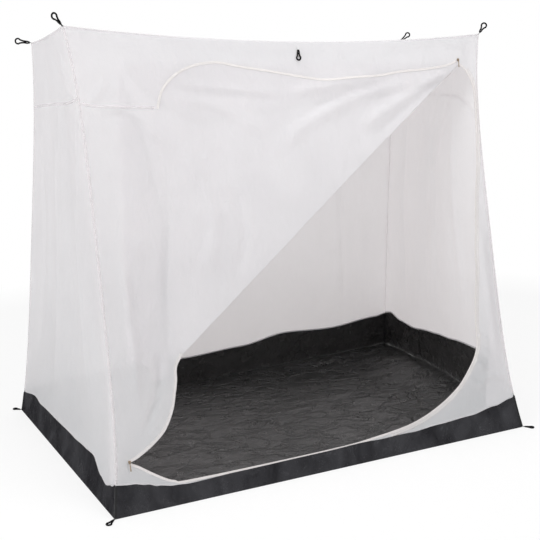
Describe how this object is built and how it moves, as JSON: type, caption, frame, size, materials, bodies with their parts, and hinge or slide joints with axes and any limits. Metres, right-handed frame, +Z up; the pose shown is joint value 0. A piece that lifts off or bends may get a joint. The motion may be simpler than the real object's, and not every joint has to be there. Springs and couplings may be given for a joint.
{
  "type": "inner tent",
  "caption": "Hanging inner sleeping cabin for an awning: pale translucent fabric walls and roof on a black tray groundsheet, with a zipped D-shaped door turned back inside.",
  "frame": {"origin": "on the ground, under the middle of the cabin", "axes": "+Z up; the door is in the front wall, which faces -Y; +X is to the right seen from the door"},
  "size_m": [2.2052, 1.4272, 1.82],
  "materials": {
    "wall_cloth": "thin woven polyester, matt, lets light through",
    "tray_cloth": "woven polyethylene sheet, black, soft sheen",
    "seam_tape": "felled and stitched seam",
    "zip_tape": "cream coil zip on woven tape",
    "zip_metal": "dark bronze",
    "cord": "braided black cord",
    "tab": "black webbing"
  },
  "bodies": {
    "cabin": {"back_wall_lower": "wall_cloth", "back_wall_upper": "wall_cloth", "left_wall_lower": "wall_cloth", "left_wall_upper": "wall_cloth", "right_wall_lower": "wall_cloth", "right_wall_upper": "wall_cloth", "roof": "wall_cloth", "front_wall_upper": "wall_cloth", "front_wall_left": "wall_cloth", "front_wall_right": "wall_cloth", "door_panel": "wall_cloth", "floor_sheet": "tray_cloth", "tray_front": "tray_cloth", "tray_back": "tray_cloth", "tray_left": "tray_cloth", "tray_right": "tray_cloth", "corner_seam_front_left": "seam_tape", "corner_seam_front_right": "seam_tape", "corner_seam_back_left": "seam_tape", "corner_seam_back_right": "seam_tape", "roof_seam_front": "seam_tape", "roof_seam_back": "seam_tape", "roof_seam_left": "seam_tape", "roof_seam_right": "seam_tape", "zip_closed": "zip_tape", "zip_wall_side": "zip_tape", "loop_tab_front_left": "tab", "loop_tab_front_right": "tab", "loop_tab_back_left": "tab", "loop_tab_back_right": "tab", "loop_tab_middle": "tab", "peg_tab_front_left": "tab", "peg_tab_front_right": "tab", "peg_tab_back_left": "tab", "peg_tab_back_right": "tab"},
    "flap": {"door_flap": "wall_cloth"},
    "flap_top": {"door_flap_top": "wall_cloth", "zip_flap_top": "zip_tape"},
    "flap_side": {"door_flap_side": "wall_cloth", "zip_flap_side": "zip_tape"},
    "flap_hem": {"door_flap_hem": "wall_cloth", "zip_flap_hem": "zip_tape"},
    "top_slider": {"slider_top": "zip_metal"},
    "top_puller": {"puller_top": "zip_metal"},
    "bottom_slider": {"slider_bottom": "zip_metal"},
    "bottom_puller": {"puller_bottom": "zip_metal"},
    "hanging_loop_front_left": {"loop_front_left": "cord"},
    "hanging_loop_front_right": {"loop_front_right": "cord"},
    "hanging_loop_back_left": {"loop_back_left": "cord"},
    "hanging_loop_back_right": {"loop_back_right": "cord"},
    "hanging_loop_middle": {"loop_middle": "cord"},
    "ground_loop_front_left": {"peg_loop_front_left": "cord"},
    "ground_loop_front_right": {"peg_loop_front_right": "cord"},
    "ground_loop_back_left": {"peg_loop_back_left": "cord"},
    "ground_loop_back_right": {"peg_loop_back_right": "cord"}
  },
  "joints": [
    {"name": "flap_fold", "type": "hinge", "parent": "cabin", "child": "flap", "pos_m": [0.812, -0.3295, 1.6117], "axis": [-0.7901, -0.113, -0.6025], "range_deg": [0, 180]},
    {"name": "flap_top_fold", "type": "hinge", "parent": "flap", "child": "flap_top", "pos_m": [0.8066, -0.3227, 1.619], "axis": [1, 0, 0], "range_deg": [0, 180]},
    {"name": "flap_side_fold", "type": "hinge", "parent": "flap", "child": "flap_side", "pos_m": [-0.815, -0.5271, 0.5266], "axis": [0.0668, 0.1848, 0.9805], "range_deg": [0, 180]},
    {"name": "flap_hem_fold", "type": "hinge", "parent": "flap_side", "child": "flap_hem", "pos_m": [-0.6188, -0.4262, 0.991], "axis": [-0.0853, -0.2005, -0.976], "range_deg": [0, 180]},
    {"name": "top_slider_travel", "type": "slide", "parent": "cabin", "child": "top_slider", "axis": [-0.9873, -0.0183, -0.1581], "range_m": [0, 0.4]},
    {"name": "top_puller_lift", "type": "hinge", "parent": "top_slider", "child": "top_puller", "pos_m": [0.806, -0.3405, 1.6351], "axis": [-1, 0, 0], "range_deg": [0, 150]},
    {"name": "bottom_slider_travel", "type": "slide", "parent": "cabin", "child": "bottom_slider", "axis": [0.8328, -0.1561, -0.5312], "range_m": [0, 0.145]},
    {"name": "bottom_puller_lift", "type": "hinge", "parent": "bottom_slider", "child": "bottom_puller", "pos_m": [-0.857, -0.6285, 0.1838], "axis": [-1, 0, 0], "range_deg": [0, 150]},
    {"name": "hanging_loop_front_left_swing", "type": "hinge", "parent": "cabin", "child": "hanging_loop_front_left", "pos_m": [-0.9364, -0.324, 1.7571], "axis": [-0.4226, 0.9063, 0], "range_deg": [-75, 40]},
    {"name": "hanging_loop_front_right_swing", "type": "hinge", "parent": "cabin", "child": "hanging_loop_front_right", "pos_m": [0.9341, -0.3244, 1.7585], "axis": [-0.6428, -0.766, 0], "range_deg": [-75, 30]},
    {"name": "hanging_loop_back_left_swing", "type": "hinge", "parent": "cabin", "child": "hanging_loop_back_left", "pos_m": [-0.9393, 0.3694, 1.7514], "axis": [0.342, 0.9397, 0], "range_deg": [-75, 75]},
    {"name": "hanging_loop_back_right_swing", "type": "hinge", "parent": "cabin", "child": "hanging_loop_back_right", "pos_m": [0.9359, 0.3611, 1.7564], "axis": [-0.6428, -0.766, 0], "range_deg": [-75, 45]},
    {"name": "hanging_loop_middle_swing", "type": "hinge", "parent": "cabin", "child": "hanging_loop_middle", "pos_m": [0.012, -0.3314, 1.6695], "axis": [-1, 0, 0], "range_deg": [0, 100]},
    {"name": "ground_loop_front_left_swing", "type": "hinge", "parent": "cabin", "child": "ground_loop_front_left", "pos_m": [-0.9459, -0.6849, 0.0027], "axis": [-0.7071, 0.7071, 0], "range_deg": [0, 80]},
    {"name": "ground_loop_front_right_swing", "type": "hinge", "parent": "cabin", "child": "ground_loop_front_right", "pos_m": [0.9459, -0.6849, 0.0027], "axis": [-0.7071, -0.7071, 0], "range_deg": [0, 80]},
    {"name": "ground_loop_back_left_swing", "type": "hinge", "parent": "cabin", "child": "ground_loop_back_left", "pos_m": [-1.0739, 0.6849, 0.0027], "axis": [0.7071, 0.7071, 0], "range_deg": [0, 80]},
    {"name": "ground_loop_back_right_swing", "type": "hinge", "parent": "cabin", "child": "ground_loop_back_right", "pos_m": [1.0739, 0.6849, 0.0477], "axis": [0.7071, -0.7071, 0], "range_deg": [0, 80]}
  ],
  "couplings": [
    {"joint": "flap_top_fold", "follows": "flap_fold", "ratio": 1},
    {"joint": "flap_side_fold", "follows": "flap_fold", "ratio": 1},
    {"joint": "flap_hem_fold", "follows": "flap_fold", "ratio": 1}
  ]
}
